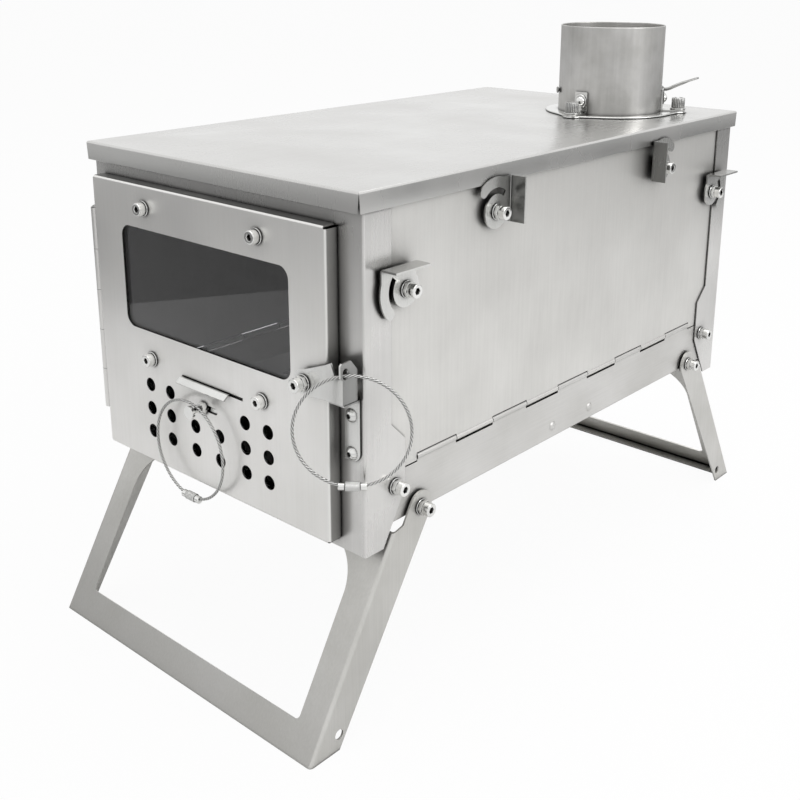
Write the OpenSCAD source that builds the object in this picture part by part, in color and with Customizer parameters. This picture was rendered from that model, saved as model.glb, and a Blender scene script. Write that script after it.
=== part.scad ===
// Tent wood stove: a fold-down sheet-metal box on two swinging legs, with a glazed door,
// an air slider, a lift-off lid held by turn latches, and a flue spigot with a damper.
// Millimetres. X to the right, -Y towards the door, Z up; the origin is on the floor under the middle.

/* [Body] */
// Width of the lid
lid_w = 210; // [200:1:225]
// Length of the lid, door end to back
lid_l = 363; // [352:1:390]
// Height from the lower edge of the end walls to the top of the lid
body_h = 181; // [179:1:192]
// Thickness of the body's sheet
sheet = 0.8; // [0.6:0.05:0.95]
// Outer radius where a sheet is folded
bend_r = 1.2; // [1:0.05:1.5]
// Depth of the lid's turned-down skirt
skirt_h = 10.2; // [8:0.1:12]
// How far the lid stands past each end wall
lid_over_end = 4; // [3:0.1:5]
// How far the lid stands past the flanges at its sides
lid_over_side = 1.3; // [1.1:0.05:1.8]
// Width of an end wall's flange above its step
flange_w = 18.5; // [15:0.5:19]
// How much wider the flange is below its step
flange_step = 10; // [6:0.5:10]
// Width of the turned-in flange on a side panel's top edge
panel_lip = 8; // [5:0.5:10]

/* [Tray and tab hinges] */
// Height of the tray's sides, from its underside to the hinge slots
tray_h = 27; // [25:0.5:30]
// Height of the tray's end lips
tray_lip = 5; // [3:0.5:7]
// Length of one hinge tab
tab_pitch = 30.9; // [28:0.1:31]
// Number of tabs along a hinge, tray tabs and panel tabs together
tab_count = 9; // [5:2:9]
// Outer radius of a rolled tab
roll_r = 1.85; // [1.7:0.05:2]
// Radius of the hinge rods
rod_r = 0.95; // [0.8:0.05:1]
// Height of the open slot under a panel tab
tab_slot = 0.8; // [0.6:0.1:1.2]
// Distance of the snap dimples from the middle
snap_y = 19.3; // [16:0.1:24]

/* [Grate] */
// Width of the grate
grate_w = 176; // [150:1:180]
// Length of the grate
grate_l = 252; // [220:1:256]
// Height of the grate over the tray
grate_h = 15; // [10:0.5:17]
// Length of a slot in the grate
grate_slot = 24; // [16:1:26]

/* [Legs] */
// Height of the leg pivots over the floor
leg_rise = 109.5; // [106:0.5:116]
// How far a foot stands out from its pivot
leg_reach = 80; // [76:0.5:82]
// Distance of the leg pivots from the lid's ends
leg_inset = 43; // [42:0.5:46]
// Thickness of the leg sheet
leg_sheet = 1; // [0.8:0.05:1.2]
// Offset of the leg's plate from its pivot
leg_off = 14; // [13.5:0.1:15]
// Radius of the rounded ear at the pivot
ear_r = 8.5; // [8:0.1:9]
// Depth of a foot along the floor
foot_d = 20; // [16:0.5:22]
// Depth of the foot's return lip
foot_lip = 10; // [6:0.5:10]
// Height of the bar at the foot of the leg
foot_bar = 17; // [14:0.5:20]
// Width of the leg's side rails
rail_w = 17.1; // [14:0.1:20]
// Radius of the opening's upper corners
arch_r = 26; // [20:0.5:32]

/* [Door] */
// How far the door's left edge lies inside the wall's left side
door_left_in = 7.7; // [7:0.1:9]
// How far the door's right edge, beside the latch, lies inside the wall's right side
door_right_in = 16.2; // [15.5:0.1:18]
// Depth of the folded door
door_d = 7.7; // [7.2:0.1:9]
// Gap between the door's top and the lid's skirt
door_gap = 7.1; // [3:0.1:9]
// Height of the door's foot over the lower edge of the wall
door_foot = 4.5; // [2:0.1:6]
// How far the window stays from each side edge of the door
window_side = 25.25; // [24:0.25:32]
// Height of the window
window_h = 57.5; // [50:0.5:58]
// Distance of the window from the door's top
window_drop = 23.7; // [22:0.1:25]
// Corner radius of the window
window_r = 6.5; // [4:0.5:8]
// Thickness of the glass
glass_t = 2.2; // [1.8:0.1:2.4]
// Half the spacing of the glass screws
glass_screw_x = 45; // [42:0.5:48]
// Diameter of the air holes
hole_d = 7.8; // [6:0.1:8.2]
// How far the air slider moves
slide_travel = 9; // [8.4:0.1:9.5]

/* [Latches and rings] */
// Thickness of a turn latch
latch_t = 1; // [0.8:0.05:1.2]
// Radius of the latch's disc round its screw
disc_r = 9; // [8.4:0.1:9.4]
// Outer radius of the latch's crescent hook
hook_r = 17.8; // [17:0.1:18.4]
// Distance from the screw to the latch's finger tab
tab_u = 12.5; // [12:0.1:14]
// How far the finger tab stands out
tab_out = 10; // [8:0.1:10]
// Radius of the cable rings
ring_r = 27.7; // [25:0.1:28]
// Radius of the cable
cable_r = 0.8; // [0.6:0.05:0.9]

/* [Flue] */
// Radius of the flue spigot
flue_r = 33.5; // [31:0.1:35]
// Height of the spigot over the lid
flue_h = 56; // [50:0.5:70]
// Place of the flue to the right of the middle
flue_x = 42; // [34:0.5:44]
// Distance of the flue from the lid's back edge
flue_in = 58; // [56:0.5:75]
// Height of the damper's rod over the lid
damper_h = 14; // [13.5:0.1:18]
// Radius of the damper's rod
damper_rod_r = 1.1; // [0.9:0.05:1.3]
// Width of the collar round the spigot
collar_w = 7.8; // [6:0.1:9]
// Radius on which the collar's thumb screws sit
thumb_r = 44.5; // [43:0.1:46]

/* [Fasteners] */
// Radius of the screws' shanks
screw_r = 2; // [1.75:0.05:2.1]
// Radius of a socket head
head_r = 3.5; // [3.2:0.05:3.7]
// Height of a socket head
head_h = 4; // [3:0.1:4.2]
// Width across a nut's flats
nut_af = 7; // [6.4:0.1:7.2]
// Height of a nut
nut_h = 3; // [2.4:0.1:3.2]
// Thickness of a washer
washer_t = 0.8; // [0.6:0.05:1]
// How far a washer stands out round its shank
washer_out = 2.2; // [1.9:0.1:2.4]

/* [Hidden] */
$fn = 64;

// Clearances
seat_gap = 0.2;  // between sheets that nest
face_gap = 0.1;  // between faces that rest on one another
bore_gap = 0.05; // round a shank in its hole
seam = 0.3;      // open corner seam of a folded sheet
swing_gap = 0.4; // between a leg and the wall beside it
over = 1;        // how far a cutting shape passes the sheet it cuts

// Levels, from the floor up
wall_drop = 13.5; // the walls end this far below the leg pivots
tray_drop = 3;    // and the tray this far
wall_bottom = leg_rise - wall_drop;
tray_bottom = leg_rise - tray_drop;
lid_top = wall_bottom + body_h;
lid_bottom = lid_top - skirt_h;
wall_top = lid_top - sheet - face_gap;
slot_z = tray_bottom + tray_h;
hinge_z = slot_z + tab_slot + roll_r;

// Planes of the body's faces
wall_x = lid_w / 2 - lid_over_side;
wall_y = lid_l / 2 - lid_over_end;
panel_x = wall_x - sheet - seat_gap;
panel_y = wall_y - sheet - seat_gap - face_gap;
roll_out = 0.6; // how far a rolled tab stands out of the panel's face
roll_x = panel_x - roll_r + roll_out;
hinge_l = tab_pitch * tab_count;
tab_gap = 0.4;

// Legs: s runs down the plate from the pivot, n stands square to it, outwards
leg_x = wall_x + swing_gap;
leg_y = lid_l / 2 - leg_inset;
leg_d = norm([leg_reach, leg_rise]);
leg_lean = atan2(leg_reach, leg_rise) - asin(leg_off / leg_d);
leg_s = sqrt(leg_d * leg_d - leg_off * leg_off);
leg_clear = 2; // between a wall's lower corner and the leg's plate
foot_lift = 0.05; // the sides end this far above the lip they stand on
foot_s = leg_s - foot_lift / cos(leg_lean);
shoulder_s = 17;
shoulder_in = 5.5;

// Fire opening of the front wall
mouth_r = 8;
mouth_lap = 12; // how far the door laps over the opening on every side
mouth_low = 14; // and at its foot

// Door
door_w = 2 * wall_x - door_left_in - door_right_in;
door_x = (door_left_in - door_right_in) / 2;
door_back = wall_y + seat_gap;
door_face = door_back + door_d;
door_top = lid_bottom - door_gap;
door_bottom = wall_bottom + door_foot;
door_h = door_top - door_bottom;
window_w = door_w - 2 * window_side;
window_top = door_top - window_drop;
window_bottom = window_top - window_h;
glass_lap = 6;      // above and below the window
glass_lap_side = 3; // and beside it
glass_screw_up = 11.5;
glass_screw_down = 15.5;
clamp_screw_z = [window_top + glass_screw_up, window_bottom - glass_screw_down];
slot_drop = 19; // from the window down to the tongue's slit
slot_rise = window_bottom - door_bottom - slot_drop;
slot_h = 1.8;
slot_x = [-19.5, 30];
tongue_x = [-19, 20.5];
hole_cols = [-48.5, -31, -10, 10, 31, 48.5];
hole_row_low = 19;
hole_row_pitch = 13.8;
hole_top_gap = 6; // least room between the holes' middles and the slit
hole_rows = floor((slot_rise - hole_row_low - hole_top_gap) / hole_row_pitch) + 1;
slider_half = 56;
slider_low = 12; // from the door's foot up to the slider plate
slider_top_gap = 1;
pull_x = -1.8;
pull_drop = 13; // from the slit down to the pull screw
pull_r = 1.5;

// Door hinge
hinge_pin_r = 1.25;
hinge_pin_x = -(wall_x - 2.2);
hinge_pin_y = -(wall_y + 3.5);
knuckle_r = 2.6;
knuckle_n = 5;
knuckle_l = 24;
knuckle_z = door_bottom + 19.5;
leaf_l = 13;

// Door latch
latch_x = door_x + door_w / 2 - 12.3;
latch_rise = 82.5;
lever_gap = 2.6;
lever_t = 1;
lever_x = wall_x - 2.7;
lever_low = 5; // from the pivot down to the lever's lower edge
eye_y = door_face + 1.6;
eye_rise = 9.1;
eye_r = 1.8;
eye_wall = 1.5; // sheet left round the eye
strike_x = wall_x - 2.4;
strike_w = 10;
strike_h = 32.2;

// Turn latches
latch_in = panel_x + 2.6; // inner face of every turn latch
top_latch_end = 98; // from the lid's end to the latch's screw
corner_latch_end = 30;
top_latch_y = lid_l / 2 - top_latch_end;
top_latch_z = lid_bottom - 14.3;
corner_latch_y = lid_l / 2 - corner_latch_end;
corner_latch_z = lid_bottom - 39.8;
slot_r = 12.2;
tab_below = 7;
tab_above = 17;

// Flue
flue_y = lid_l / 2 - flue_in;
flue_t = 0.8;
collar_t = 1.2;
bracket_t = 1;
bracket_w = 9;
bracket_h = 14;
bolt_rise = 9.5;
blade_gap = 0.9;
mark_rise = 18.2; // the line on the spigot that a pipe slips down to
mark_w = 0.9;
mark_depth = 0.12;
ear_angles = [-90, 30, 150];

// ---------------------------------------------------------------- shapes

// A sheet's edge: a quarter bend and a straight skirt h deep, running len along Y.
// The outer face is at x = 0 and the sheet's top at z = 0.
module bent_edge(len, h) {
    rotate([90, 0, 0])
        linear_extrude(len, center = true) {
            translate([-sheet, -h]) square([sheet, h - bend_r]);
            translate([-bend_r, -bend_r])
                intersection() {
                    difference() {
                        circle(bend_r);
                        circle(bend_r - sheet);
                    }
                    square(bend_r);
                }
        }
}

// A shallow pan, open downwards, folded from one sheet with open corner seams
module folded_pan(w, l, h_side, h_end) {
    translate([0, 0, -sheet / 2]) cube([w - 2 * bend_r, l - 2 * bend_r, sheet], center = true);
    for (a = [0, 180])
        rotate([0, 0, a]) translate([w / 2, 0, 0]) bent_edge(l - 2 * (bend_r + seam), h_side);
    for (a = [90, 270])
        rotate([0, 0, a]) translate([l / 2, 0, 0]) bent_edge(w - 2 * (bend_r + seam), h_end);
}

// A rectangle w by d on the X axis whose two corners on the axis are rounded
module round_front(w, d, r) {
    translate([-w / 2, r]) square([w, d - r]);
    translate([r - w / 2, 0]) square([w - 2 * r, r * 1.5]);
    for (x = [r - w / 2, w / 2 - r]) translate([x, r]) circle(r);
}

// Plan of a sheet folded into a channel, t thick
module channel(w, d, t, r) {
    difference() {
        round_front(w, d, r);
        translate([0, t]) round_front(w - 2 * t, d, r - t);
    }
}

// A rectangle centred on the origin with rounded corners
module round_rect(w, h, r) {
    square([w - 2 * r, h], center = true);
    square([w, h - 2 * r], center = true);
    for (x = [-1, 1], y = [-1, 1]) translate([x * (w / 2 - r), y * (h / 2 - r)]) circle(r);
}

// A slot with round ends, l long in all
module slot2d(l, w) {
    square([l - w, w], center = true);
    for (x = [-1, 1]) translate([x * (l - w) / 2, 0]) circle(w / 2);
}

// A wedge from the origin between two angles, up to 180 degrees apart
module wedge(r, a0, a1) {
    mid = (a0 + a1) / 2;
    far = 2 * r;
    polygon([[0, 0], far * [cos(a0), sin(a0)], far * [cos(mid), sin(mid)], far * [cos(a1), sin(a1)]]);
}

// Part of a ring
module ring_part(r_in, r_out, a0, a1) {
    intersection() {
        difference() {
            circle(r_out);
            circle(r_in);
        }
        wedge(r_out, a0, a1);
    }
}

// Draws a plan of (Y, Z) as a plate t thick whose inner face is at x
module side_plate(x, t) {
    translate([x, 0, 0]) rotate([90, 0, 90]) linear_extrude(t) children();
}

// Draws a plan of (X, Z) as a plate t thick whose outer face is at -y
module end_plate(y, t) {
    translate([0, t - y, 0]) rotate([90, 0, 0]) linear_extrude(t) children();
}

// Draws a plan of (forward, up) right across the body
module across(w) {
    rotate([90, 0, -90]) linear_extrude(w, center = true) children();
}

// A hole or a shank along X, Y or Z
module along_x(x, y, z, r, l) {
    translate([x, y, z]) rotate([0, 90, 0]) cylinder(r = r, h = l);
}

module along_y(x, y, z, r, l) {
    translate([x, y, z]) rotate([-90, 0, 0]) cylinder(r = r, h = l);
}

module both_sides() {
    children();
    mirror([1, 0, 0]) children();
}

module both_ends() {
    children();
    mirror([0, 1, 0]) children();
}

module placed(left, rear) {
    mirror([left, 0, 0]) mirror([0, rear, 0]) children();
}

// ------------------------------------------------------------- fasteners

module hex_nut(h) {
    cylinder(r = nut_af / sqrt(3), h = h, $fn = 6);
}

module socket_head() {
    difference() {
        cylinder(r = head_r, h = head_h);
        translate([0, 0, head_h / 2]) cylinder(r = head_r / 2, h = head_h, $fn = 6);
    }
}

module dome_head(r, h) {
    ball = (r * r + h * h) / (2 * h);
    intersection() {
        translate([0, 0, h - ball]) sphere(ball);
        cylinder(r = r, h = h + over);
    }
}

// A screw along Z that clamps a sheet between z = -under and z = 0 and carries, on top of
// it, a spacer up to z = lift, a gap for a turning plate t thick, then washer, nut and head.
// Without a nut it is a stud pressed into the sheet.
module stack_screw(under, lift, t, nut) {
    top = lift + t;
    stub = screw_r / 4;
    tail = under + stub + (nut ? nut_h : 0);
    under_head = top + face_gap + nut_h;
    translate([0, 0, -tail]) cylinder(r = screw_r, h = tail + under_head + stub);
    if (nut) translate([0, 0, -under - nut_h - face_gap]) hex_nut(nut_h);
    if (lift > 0) cylinder_from(face_gap, lift - face_gap, screw_r + washer_out);
    cylinder_from(top + face_gap, top + face_gap + washer_t, screw_r + washer_out);
    translate([0, 0, top + face_gap + washer_t]) hex_nut(nut_h - washer_t);
    translate([0, 0, under_head]) socket_head();
}

module cylinder_from(z0, z1, r) {
    translate([0, 0, z0]) cylinder(r = r, h = z1 - z0);
}

module side_screw(y, z, x, under, lift, t, nut) {
    translate([x, y, z]) rotate([0, 90, 0]) stack_screw(under, lift, t, nut);
}

// ------------------------------------------------------- tray and panels

function tab_y(i) = (i + 0.5) * tab_pitch - hinge_l / 2;

// The rolls of every second tab, starting with tab `first`
module rolls(first) {
    for (i = [first : 2 : tab_count - 1])
        translate([roll_x, tab_y(i) + (tab_pitch - tab_gap) / 2, hinge_z])
            rotate([90, 0, 0]) cylinder(r = roll_r, h = tab_pitch - tab_gap);
}

module roll_bore() {
    translate([roll_x, lid_l / 2, hinge_z]) rotate([90, 0, 0]) cylinder(r = rod_r + bore_gap, h = lid_l);
}

module tab_squares(first, z0, z1) {
    for (i = [first : 2 : tab_count - 1])
        translate([tab_y(i) - (tab_pitch - tab_gap) / 2, z0]) square([tab_pitch - tab_gap, z1 - z0]);
}

wall_screw_y = lid_l / 2 - 25;
wall_screw_z = slot_z - 6.5;

module screw_holes(y, z) {
    for (s = [-1, 1]) along_x(panel_x - over - sheet, s * y, z, screw_r + bore_gap, 4 * over);
}

// One side of the tray: its upstand with tabs, pivot lobes and snap dimples
module tray_side() {
    lobe_r = 7;
    difference() {
        union() {
            side_plate(panel_x - sheet, sheet) {
                tab_squares(0, slot_z - over, hinge_z);
                for (s = [-1, 1]) translate([s * leg_y, leg_rise]) circle(lobe_r);
            }
            rolls(0);
            for (s = [-1, 1])
                translate([panel_x, s * snap_y, tray_bottom + 7.5])
                    rotate([0, 90, 0]) dome_head(2.7, 1);
        }
        roll_bore();
    }
}

module bottom_tray() color("silver") {
    difference() {
        union() {
            translate([0, 0, tray_bottom])
                mirror([0, 0, 1]) folded_pan(2 * panel_x, 2 * panel_y, tray_h, tray_lip);
            both_sides() tray_side();
        }
        both_sides() {
            screw_holes(leg_y, leg_rise);
            screw_holes(wall_screw_y, wall_screw_z);
        }
    }
}

// Right side panel: flat sheet, top edge turned in, lower edge cut and rolled into tabs
module side_panel() {
    full_z = hinge_z + roll_r + tab_gap;
    low_z = slot_z + tab_slot;
    difference() {
        union() {
            side_plate(panel_x - sheet, sheet) {
                translate([-panel_y, full_z]) square([2 * panel_y, wall_top - bend_r - full_z]);
                tab_squares(1, hinge_z, full_z + over);
                for (s = [0, 1])
                    mirror([s, 0])
                        translate([(hinge_l + tab_gap) / 2, low_z])
                            square([panel_y - (hinge_l + tab_gap) / 2, full_z + over - low_z]);
            }
            translate([panel_x, 0, wall_top]) bent_edge(2 * panel_y, bend_r + over);
            translate([panel_x - panel_lip, -panel_y, wall_top - sheet])
                cube([panel_lip - bend_r, 2 * panel_y, sheet]);
            rolls(1);
        }
        roll_bore();
        screw_holes(top_latch_y, top_latch_z);
        screw_holes(corner_latch_y, corner_latch_z);
    }
}

module side_panel_right() color("gainsboro") side_panel();

module side_panel_left() color("gainsboro") mirror([1, 0, 0]) side_panel();

module hinge_rods() color("dimgray") {
    both_sides()
        translate([roll_x, hinge_l / 2 + 2, hinge_z]) rotate([90, 0, 0]) cylinder(r = rod_r, h = hinge_l + 4);
}

// ------------------------------------------------------------- end walls

// Where the slanted line n out from the leg's pivot lies at height z, forward of the middle
function leg_line(n, z) = leg_y + (n - (z - leg_rise) * sin(leg_lean)) / cos(leg_lean);

// Side outline of an end wall in (forward, up)
module wall_outline() {
    narrow = wall_y - flange_w;
    wide = narrow - flange_step;
    step_z = slot_z + 16.5;
    n = leg_off + leg_clear;
    corner_z = leg_rise + (n - (wide - leg_y) * cos(leg_lean)) / sin(leg_lean);
    polygon([
        [wall_y + over, wall_bottom],
        [wall_y + over, wall_top],
        [narrow, wall_top],
        [narrow, step_z + flange_step],
        [wide, step_z],
        [wide, corner_z],
        [leg_line(n, wall_bottom), wall_bottom]
    ]);
}

module end_wall() {
    difference() {
        intersection() {
            translate([0, -wall_y, wall_bottom])
                linear_extrude(wall_top - wall_bottom)
                    channel(2 * wall_x, flange_w + flange_step, sheet, bend_r);
            across(3 * wall_x) wall_outline();
        }
        both_sides()
            along_x(wall_x - sheet - over, -wall_screw_y, wall_screw_z, screw_r + bore_gap, 3 * over);
    }
}

module front_wall() color("darkgray") {
    mouth_w = door_w - 2 * mouth_lap;
    mouth_h = door_h - mouth_lap - mouth_low;
    difference() {
        end_wall();
        end_plate(wall_y + over, sheet + 2 * over)
            translate([door_x, door_bottom + mouth_low + mouth_h / 2]) round_rect(mouth_w, mouth_h, mouth_r);
        for (z = hinge_screw_z)
            along_x(-wall_x - over, hinge_screw_y, z, hinge_screw_r + bore_gap, sheet + 2 * over);
        for (z = strike_screw_z)
            along_y(strike_screw_x, -wall_y - over, z, hinge_screw_r + bore_gap, sheet + 2 * over);
    }
}

module rear_wall() color("darkgray") mirror([0, 1, 0]) end_wall();

// Slotted plate that holds the fire up over the tray, on its own turned-down sides
module fire_grate() color("gray") {
    rows = floor((grate_l - 30) / 22);
    cols = floor((grate_w - 30) / (grate_slot + 9));
    difference() {
        translate([0, 0, tray_bottom + sheet + grate_h])
            folded_pan(grate_w, grate_l, grate_h, grate_h / 2);
        translate([0, 0, tray_bottom + grate_h])
            linear_extrude(2 * sheet + over)
                for (i = [0 : rows - 1], j = [0 : cols - 1])
                    translate([(j - (cols - 1) / 2) * (grate_slot + 9), (i - (rows - 1) / 2) * 22])
                        slot2d(grate_slot, 6);
    }
}

// -------------------------------------------------------- side fasteners

module wall_screws() color("whitesmoke") {
    both_ends() both_sides()
        side_screw(-wall_screw_y, wall_screw_z, wall_x, wall_x - panel_x + sheet, 0, 0, true);
}

module leg_pivot_screws() color("whitesmoke") {
    both_ends() both_sides()
        side_screw(-leg_y, leg_rise, panel_x, sheet, leg_x - panel_x, leg_sheet, false);
}

module top_latch_screws() color("whitesmoke") {
    both_ends() both_sides()
        side_screw(-top_latch_y, top_latch_z, panel_x, sheet, latch_in - panel_x, latch_t, true);
}

module corner_latch_screws() color("whitesmoke") {
    both_ends() both_sides()
        side_screw(-corner_latch_y, corner_latch_z, panel_x, sheet, latch_in - panel_x, latch_t, true);
}

// ------------------------------------------------------------ door hinge

hinge_screw_r = 1.5;
hinge_screw_in = 7.5; // from the pin back to the leaf's screws
hinge_screw_y = hinge_pin_y + hinge_screw_in;
hinge_screw_z = [knuckle_z + 6.5, knuckle_z + knuckle_n * knuckle_l - 6.5];

// The knuckles with an even or an odd number, counted from below
module knuckles(first) {
    for (i = [first : 2 : knuckle_n - 1])
        translate([hinge_pin_x, hinge_pin_y, knuckle_z + i * knuckle_l + face_gap])
            cylinder(r = knuckle_r, h = knuckle_l - 2 * face_gap);
}

module hinge_bore() {
    translate([hinge_pin_x, hinge_pin_y, knuckle_z - over])
        cylinder(r = hinge_pin_r + bore_gap, h = knuckle_n * knuckle_l + 2 * over);
}

// Leaf screwed to the wall's left flange, with three knuckles
module door_hinge_leaf() color("darkgray") {
    difference() {
        union() {
            knuckles(0);
            for (i = [0 : 2 : knuckle_n - 1])
                translate([-wall_x - sheet, hinge_pin_y, knuckle_z + i * knuckle_l + face_gap])
                    cube([sheet, knuckle_r + over, knuckle_l - 2 * face_gap]);
            translate([-wall_x - sheet, hinge_pin_y + knuckle_r + 0.4, knuckle_z + face_gap])
                cube([sheet, leaf_l - knuckle_r, knuckle_n * knuckle_l - 2 * face_gap]);
        }
        hinge_bore();
        for (z = hinge_screw_z)
            along_x(-wall_x - sheet - over, hinge_screw_y, z, hinge_screw_r + bore_gap, sheet + 2 * over);
    }
}

module door_hinge_pin() color("whitesmoke") {
    translate([hinge_pin_x, hinge_pin_y, knuckle_z - 0.5]) {
        cylinder(r = hinge_pin_r, h = knuckle_n * knuckle_l + 0.6);
        translate([0, 0, knuckle_n * knuckle_l + 0.6]) dome_head(knuckle_r - 0.4, 1.2);
    }
}

// A small button-head screw along Z whose head sits on z = 0. It ends flush with its sheets
// at -under, or goes on through a nut.
module button_screw(under, nut) {
    tail = under + (nut ? 2.5 : 0);
    difference() {
        dome_head(3.5, 2.2);
        translate([0, 0, 1]) cylinder(r = 1.4, h = 3, $fn = 6);
    }
    translate([0, 0, -tail]) cylinder(r = hinge_screw_r, h = tail + 0.5);
    if (nut) translate([0, 0, -under - 2.3]) cylinder(r = 5.5 / sqrt(3), h = 2.2, $fn = 6);
}

module door_hinge_screws() color("whitesmoke") {
    for (z = hinge_screw_z)
        translate([-wall_x - sheet - face_gap / 2, hinge_screw_y, z])
            rotate([0, -90, 0]) button_screw(2 * sheet, false);
}

// Leaf on the door's left side with the two knuckles between the wall's three
module door_knuckle_leaf() color("darkgray") {
    door_left = door_x - door_w / 2;
    difference() {
        union() {
            knuckles(1);
            for (i = [1 : 2 : knuckle_n - 1])
                translate([hinge_pin_x, hinge_pin_y - sheet / 2, knuckle_z + i * knuckle_l + face_gap])
                    cube([door_left - sheet / 2 - hinge_pin_x, sheet, knuckle_l - 2 * face_gap]);
            translate([door_left - sheet, -door_face + bend_r + 0.2, knuckle_z])
                cube([sheet, door_d - bend_r - 0.6, knuckle_n * knuckle_l]);
        }
        hinge_bore();
    }
}

// ------------------------------------------------------------------ door

module at_holes() {
    for (i = [0 : len(hole_cols) - 1], j = [0 : hole_rows - 1])
        if (j < hole_rows - 1 || abs(hole_cols[i]) > 20)
            translate([door_x + hole_cols[i], door_bottom + hole_row_low + j * hole_row_pitch])
                children();
}

slit_z = door_bottom + slot_rise;
pull_z = slit_z - pull_drop;
latch_z = door_bottom + latch_rise;

module door_panel() color("lightgray") {
    difference() {
        translate([door_x, -door_face, (door_top + door_bottom) / 2])
            rotate([90, 0, 0]) folded_pan(door_w, door_h, door_d, door_d);
        end_plate(door_face + over, sheet + 2 * over) {
            translate([door_x, (window_top + window_bottom) / 2]) round_rect(window_w, window_h, window_r);
            at_holes() circle(hole_d / 2);
            translate([door_x + slot_x[0], slit_z - slot_h / 2]) square([slot_x[1] - slot_x[0], slot_h]);
            translate([door_x + pull_x + slide_travel / 2, pull_z])
                slot2d(slide_travel + 2 * pull_r + 0.8, 2 * pull_r + 0.8);
            translate([latch_x, latch_z]) circle(screw_r + bore_gap);
            for (x = [-1, 1], z = clamp_screw_z)
                translate([door_x + x * glass_screw_x, z]) circle(screw_r + bore_gap);
        }
    }
}

module window_glass() color("dimgray", 0.6) {
    end_plate(door_face - sheet - face_gap, glass_t)
        translate([door_x, (window_top + window_bottom) / 2])
            round_rect(window_w + 2 * glass_lap_side, window_h + 2 * glass_lap, 2);
}

// The strip that holds the glass along one edge, stepped over it between two screw feet.
// Drawn in (distance from the glass's middle, up from the door's sheet).
module glass_clamp(edge, screw) {
    foot_w = 16;
    lip = 4;
    rise = glass_t + 2 * face_gap;
    t = sheet;
    half = window_w / 2;
    difference() {
        union() {
            translate([-half, edge - lip, rise]) cube([2 * half, lip + 1.2, t]);
            for (x = [-1, 1])
                translate([x * glass_screw_x, 0, 0]) {
                    translate([-foot_w / 2, edge + 0.4, face_gap]) cube([foot_w, t, rise + t - face_gap]);
                    translate([-foot_w / 2, edge + 0.4, face_gap]) cube([foot_w, screw - edge + 3.6, t]);
                }
        }
        for (x = [-1, 1])
            translate([x * glass_screw_x, screw, -over]) cylinder(r = screw_r + bore_gap, h = 3 * over);
    }
}

module glass_clamps() color("darkgray") {
    mid = (window_top + window_bottom) / 2;
    edge = window_h / 2 + glass_lap + 0.3;
    translate([door_x, sheet - door_face, mid])
        rotate([-90, 0, 0])
            for (end = [[0, clamp_screw_z[1]], [1, clamp_screw_z[0]]])
                mirror([0, end[0], 0]) glass_clamp(edge, abs(end[1] - mid));
}

// A socket-head screw through the door's sheet: washer and head in front, nut behind
module glass_screw() {
    under = 2 * sheet + 3 * face_gap;
    seat = washer_t + 2 * face_gap;
    cylinder_from(face_gap - under - nut_h, seat + head_h / 4, screw_r);
    translate([0, 0, -under - nut_h]) hex_nut(nut_h);
    cylinder_from(face_gap / 2, seat, screw_r + washer_out);
    translate([0, 0, seat]) socket_head();
}

module glass_screws() color("whitesmoke") {
    for (x = [-1, 1], z = clamp_screw_z)
        translate([door_x + x * glass_screw_x, -door_face, z]) rotate([90, 0, 0]) glass_screw();
}

module latch_pivot_screw() color("whitesmoke") {
    translate([latch_x, -door_face, latch_z])
        rotate([90, 0, 0]) stack_screw(sheet, lever_gap, lever_t, false);
}

// Section of the tongue: flat from y0 to y1, then bent down by angle a for another l
module tongue(y0, y1, l, a) {
    half = sheet / 2;
    miter = half * tan(a / 2);
    tip = [y1 + l * cos(a), -l * sin(a)];
    side = half * [sin(a), cos(a)];
    polygon([[y0, -half], [y0, half], [y1 + miter, half], tip + side, tip - side, [y1 - miter, -half]]);
}

// Plate behind the door's air holes, with the tongue that comes out through the slit
module air_slider() color("darkgray") {
    back = door_face - sheet - face_gap;
    tongue_out = 3.6;
    tongue_bend = 38;
    tongue_root = 4; // how far the tongue's strip runs down into the plate
    tongue_w = tongue_x[1] - tongue_x[0];
    difference() {
        union() {
            end_plate(back, sheet) {
                translate([door_x - slider_half, door_bottom + slider_low])
                    square([2 * slider_half, slot_rise - slot_h / 2 - slider_low - slider_top_gap]);
                translate([door_x + tongue_x[0], slit_z - tongue_root])
                    square([tongue_w, tongue_root + sheet / 2]);
            }
            translate([door_x + tongue_x[0] + tongue_w / 2, 0, slit_z])
                across(tongue_w) tongue(back - sheet, door_face + tongue_out / 2, tongue_out, tongue_bend);
        }
        end_plate(back + over, sheet + 2 * over) {
            at_holes() circle(hole_d / 2);
            translate([door_x + pull_x, pull_z]) circle(pull_r + bore_gap);
        }
    }
}

ring_y = door_face + 6.2; // plane of the pull ring

module slider_pull_screw() color("whitesmoke") {
    back = door_face - 2 * sheet - 2 * face_gap;
    translate([door_x + pull_x, 0, pull_z]) rotate([90, 0, 0]) {
        cylinder_from(back - 2.6, ring_y + 3, pull_r);
        cylinder_from(back - 2.4, back, 3);
        translate([0, 0, door_face + face_gap]) cylinder(r = 6.4 / sqrt(3), h = 3.2, $fn = 6);
        cylinder_from(ring_y + 2.6, ring_y + 4.2, 3.6);
    }
}

// ----------------------------------------------------------- cable rings

barrel_l = 14;

// The cable: an open loop in the XZ plane whose two ends go into the barrel at its foot
module cable() {
    open = asin(barrel_l / 2 / ring_r) * 0.6;
    rotate([90, 0, 0])
        rotate([0, 0, open - 90])
            rotate_extrude(angle = 360 - 2 * open) translate([ring_r, 0]) circle(cable_r, $fn = 24);
}

module barrel() {
    z = -ring_r * cos(asin(barrel_l / 2 / ring_r) * 0.5);
    translate([0, 0, z]) rotate([0, 90, 0]) {
        cylinder(r = 2.5 * cable_r, h = barrel_l, center = true);
        cylinder(r = 3 * cable_r, h = barrel_l / 2, center = true);
    }
}

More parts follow.
